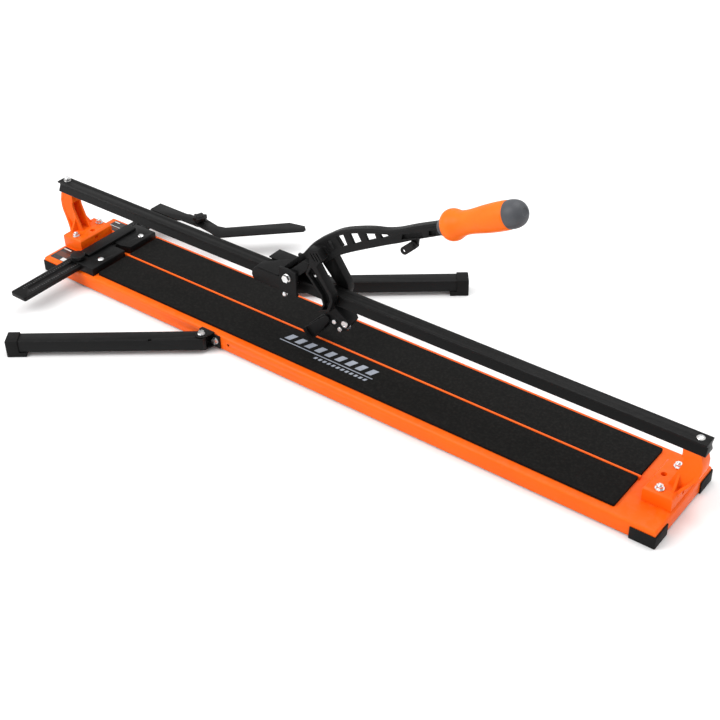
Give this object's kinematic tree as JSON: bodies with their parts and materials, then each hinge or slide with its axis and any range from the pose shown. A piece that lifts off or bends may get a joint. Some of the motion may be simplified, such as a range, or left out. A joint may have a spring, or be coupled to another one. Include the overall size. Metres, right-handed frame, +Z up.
{
  "type": "tile cutter",
  "caption": "Manual tile cutter: long tray with rubber beds, guide rail on end posts, and a carriage whose lever drives a cutting wheel and breaker foot.",
  "frame": {"origin": "centre of the whole object's footprint, at the level of the bench it stands on", "axes": "+X along the base towards the operator's end, which has no fence, +Y to the operator's right, +Z up from the bench"},
  "size_m": [1.4, 0.6856, 0.4449],
  "materials": {
    "orange_powder_coat": "orange powder coat",
    "black_rail": "satin black rail",
    "black_cast": "textured black paint on castings",
    "black_sheet": "black paint on sheet and bar",
    "bed_rubber": "matt black rubber",
    "guard_rubber": "dark moulded rubber",
    "zinc": "zinc plated steel",
    "carbide": "ground hard metal",
    "knob_plastic": "dark moulded plastic",
    "grip_orange": "orange moulded grip",
    "grip_grey": "dark grey moulded plastic"
  },
  "bodies": {
    "base": {"base_tray": "orange_powder_coat", "breaker_bar": "orange_powder_coat", "guide_rail": "black_rail", "front_bed": "bed_rubber", "rear_bed": "bed_rubber", "left_end_post": "orange_powder_coat", "right_end_post": "orange_powder_coat", "left_rail_bolt": "zinc", "right_rail_bolt": "zinc", "corner_guard_left_front": "guard_rubber", "corner_guard_left_rear": "guard_rubber", "corner_guard_right_front": "guard_rubber", "corner_guard_right_rear": "guard_rubber", "post_bolt_left_front": "zinc", "post_bolt_left_rear": "zinc", "post_bolt_right_front": "zinc", "post_bolt_right_rear": "zinc", "fence_front": "black_sheet", "fence_rear": "black_sheet", "fence_bar": "black_sheet", "fence_screw_front": "zinc", "fence_screw_rear": "zinc", "front_arm_bracket": "black_sheet", "rear_arm_bracket": "black_sheet", "front_bracket_bolt": "zinc", "rear_bracket_bolt": "zinc", "front_arm_pivot_bolt": "zinc", "rear_arm_pivot_bolt": "zinc"},
    "ruler": {"extension_ruler": "black_sheet"},
    "ruler_clamp": {"ruler_knob": "knob_plastic"},
    "angle_slide": {"angle_carrier": "black_sheet"},
    "angle_guide": {"angle_arm": "black_sheet"},
    "angle_clamp": {"angle_knob": "knob_plastic"},
    "front_support": {"front_support_arm": "black_sheet", "front_arm_foot": "guard_rubber"},
    "rear_support": {"rear_support_arm": "black_sheet", "rear_arm_foot": "guard_rubber"},
    "carriage": {"carriage_cheek_front": "black_cast", "carriage_cheek_rear": "black_cast", "carriage_cover": "black_cast", "lever_pivot_bolt": "zinc", "adjusting_screw": "zinc"},
    "lever": {"lever_casting": "black_cast", "yoke_arm_front": "black_cast", "yoke_arm_rear": "black_cast", "wheel_holder": "black_cast", "holder_screw": "zinc", "ring_nut": "zinc", "wheel_axle": "zinc", "grip_collar": "grip_grey", "grip": "grip_orange", "grip_cap": "grip_grey"},
    "wheel": {"cutting_wheel": "carbide"},
    "foot": {"breaker_foot": "black_cast"},
    "link": {"transport_link": "black_sheet"},
    "roller_left_front": {"guide_roller_left_front": "zinc"},
    "roller_left_rear": {"guide_roller_left_rear": "zinc"},
    "roller_right_front": {"guide_roller_right_front": "zinc"},
    "roller_right_rear": {"guide_roller_right_rear": "zinc"}
  },
  "joints": [
    {"name": "carriage_slide", "type": "slide", "parent": "base", "child": "carriage", "axis": [1, 0, 0], "range_m": [-0.47, 0.6]},
    {"name": "lever_tilt", "type": "hinge", "parent": "carriage", "child": "lever", "pos_m": [-0.086, 0, 0.165], "axis": [0, 1, 0], "range_deg": [0, 20], "stiffness_Nm_per_rad": 8, "springref_deg": -45.84},
    {"name": "breaker_foot_swing", "type": "hinge", "parent": "lever", "child": "foot", "pos_m": [-0.01, 0, 0.102], "axis": [0, 1, 0], "range_deg": [0, 40]},
    {"name": "wheel_spin", "type": "hinge", "parent": "lever", "child": "wheel", "pos_m": [0.018, 0, 0.09], "axis": [0, 1, 0], "continuous": true},
    {"name": "roller_left_front_spin", "type": "hinge", "parent": "carriage", "child": "roller_left_front", "pos_m": [-0.147, -0.0162, 0.1474], "axis": [0, 0, 1], "continuous": true},
    {"name": "roller_left_rear_spin", "type": "hinge", "parent": "carriage", "child": "roller_left_rear", "pos_m": [-0.147, 0.0162, 0.1474], "axis": [0, 0, 1], "continuous": true},
    {"name": "roller_right_front_spin", "type": "hinge", "parent": "carriage", "child": "roller_right_front", "pos_m": [-0.083, -0.0162, 0.1474], "axis": [0, 0, 1], "continuous": true},
    {"name": "roller_right_rear_spin", "type": "hinge", "parent": "carriage", "child": "roller_right_rear", "pos_m": [-0.083, 0.0162, 0.1474], "axis": [0, 0, 1], "continuous": true},
    {"name": "link_swing", "type": "hinge", "parent": "lever", "child": "link", "pos_m": [0.166, 0, 0.307], "axis": [0, 1, 0], "range_deg": [-90, 12]},
    {"name": "front_arm_swing", "type": "hinge", "parent": "base", "child": "front_support", "pos_m": [-0.2275, -0.1155, 0.02], "axis": [0, 0, 1], "range_deg": [-37, 50]},
    {"name": "rear_arm_swing", "type": "hinge", "parent": "base", "child": "rear_support", "pos_m": [-0.2275, 0.1155, 0.02], "axis": [0, 0, 1], "range_deg": [-37, 50]},
    {"name": "ruler_slide", "type": "slide", "parent": "base", "child": "ruler", "axis": [0, 1, 0], "range_m": [-0.03, 0.09]},
    {"name": "ruler_clamp_turn", "type": "hinge", "parent": "base", "child": "ruler_clamp", "pos_m": [-0.589, -0.08, 0.05], "axis": [0, 0, 1], "range_deg": [0, 180]},
    {"name": "angle_slide_move", "type": "slide", "parent": "ruler", "child": "angle_slide", "axis": [0, 1, 0], "range_m": [-0.03, 0]},
    {"name": "angle_guide_turn", "type": "hinge", "parent": "angle_slide", "child": "angle_guide", "pos_m": [-0.49, 0.165, 0.05], "axis": [0, 0, 1], "range_deg": [-40, 46]},
    {"name": "angle_clamp_turn", "type": "hinge", "parent": "angle_slide", "child": "angle_clamp", "pos_m": [-0.49, 0.165, 0.055], "axis": [0, 0, 1], "range_deg": [0, 180]}
  ],
  "couplings": [
    {"joint": "roller_left_front_spin", "follows": "carriage_slide", "rad_per_m": 133.33},
    {"joint": "roller_left_rear_spin", "follows": "carriage_slide", "rad_per_m": -133.33},
    {"joint": "roller_right_front_spin", "follows": "carriage_slide", "rad_per_m": 133.33},
    {"joint": "roller_right_rear_spin", "follows": "carriage_slide", "rad_per_m": -133.33}
  ]
}
